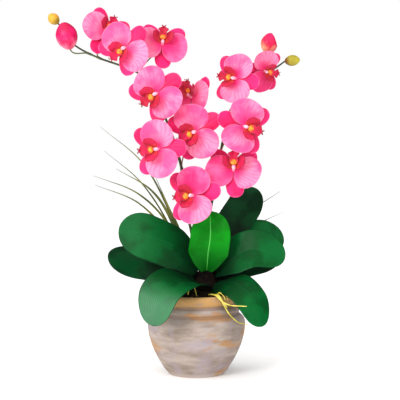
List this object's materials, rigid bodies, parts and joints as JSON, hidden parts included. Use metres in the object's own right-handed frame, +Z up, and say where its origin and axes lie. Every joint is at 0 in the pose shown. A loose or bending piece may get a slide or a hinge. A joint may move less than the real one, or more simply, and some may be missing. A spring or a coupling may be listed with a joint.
{
  "type": "potted orchid",
  "caption": "Moth orchid in a round clay pot: a low whorl of broad leaves, arching flower spikes with pink blooms and buds, aerial roots and thin grass blades.",
  "frame": {"origin": "centre of the pot's flat foot, on the surface it stands on", "axes": "+Z up the plant, -Y towards the viewer that the flowers face, +X to that viewer's right"},
  "size_m": [0.4103, 0.2043, 0.602],
  "materials": {
    "pot_clay": "weathered, washed clay with rust-coloured patches",
    "potting_mix": "dark, loose bark and moss",
    "leaf_green": "waxy deep green",
    "leaf_young": "waxy fresh green",
    "stem_green": "dark green-brown, smooth",
    "petal_pink": "soft pink, paler towards the edges",
    "lip_red": "deep magenta-red with an orange throat",
    "bud_green": "yellow-green",
    "bud_pink": "magenta",
    "root_yellow": "pale yellow-green",
    "grass_green": "dull olive"
  },
  "bodies": {
    "root": {"pot": "pot_clay", "potting_mix": "potting_mix", "crown": "stem_green", "leaf_left_upper": "leaf_green", "leaf_left_lower": "leaf_green", "leaf_front_left": "leaf_green", "leaf_front_upright": "leaf_young", "leaf_right_upper": "leaf_green", "leaf_back_right": "leaf_green", "leaf_right_middle": "leaf_green", "leaf_right_lower": "leaf_green", "leaf_front_right": "leaf_green", "spike_left": "stem_green", "spike_right": "stem_green", "flower_left_1_petals": "petal_pink", "flower_left_1_lip": "lip_red", "flower_left_2_petals": "petal_pink", "flower_left_2_lip": "lip_red", "flower_left_3_petals": "petal_pink", "flower_left_3_lip": "lip_red", "flower_left_4_petals": "petal_pink", "flower_left_4_lip": "lip_red", "flower_left_5_petals": "petal_pink", "flower_left_5_lip": "lip_red", "flower_left_6_petals": "petal_pink", "flower_left_6_lip": "lip_red", "flower_left_7_petals": "petal_pink", "flower_left_7_lip": "lip_red", "flower_left_8_petals": "petal_pink", "flower_left_8_lip": "lip_red", "flower_right_1_petals": "petal_pink", "flower_right_1_lip": "lip_red", "flower_right_2_petals": "petal_pink", "flower_right_2_lip": "lip_red", "flower_right_3_petals": "petal_pink", "flower_right_3_lip": "lip_red", "flower_right_4_petals": "petal_pink", "flower_right_4_lip": "lip_red", "bud_left_tip": "bud_green", "bud_left_large": "bud_pink", "bud_right_opening": "bud_pink", "bud_right_tip": "bud_green", "root_over_rim_long": "root_yellow", "root_over_rim_short": "root_yellow", "root_over_rim_curled": "root_yellow", "root_loop": "root_yellow", "grass_left": "grass_green", "grass_right": "grass_green"}
  },
  "joints": []
}
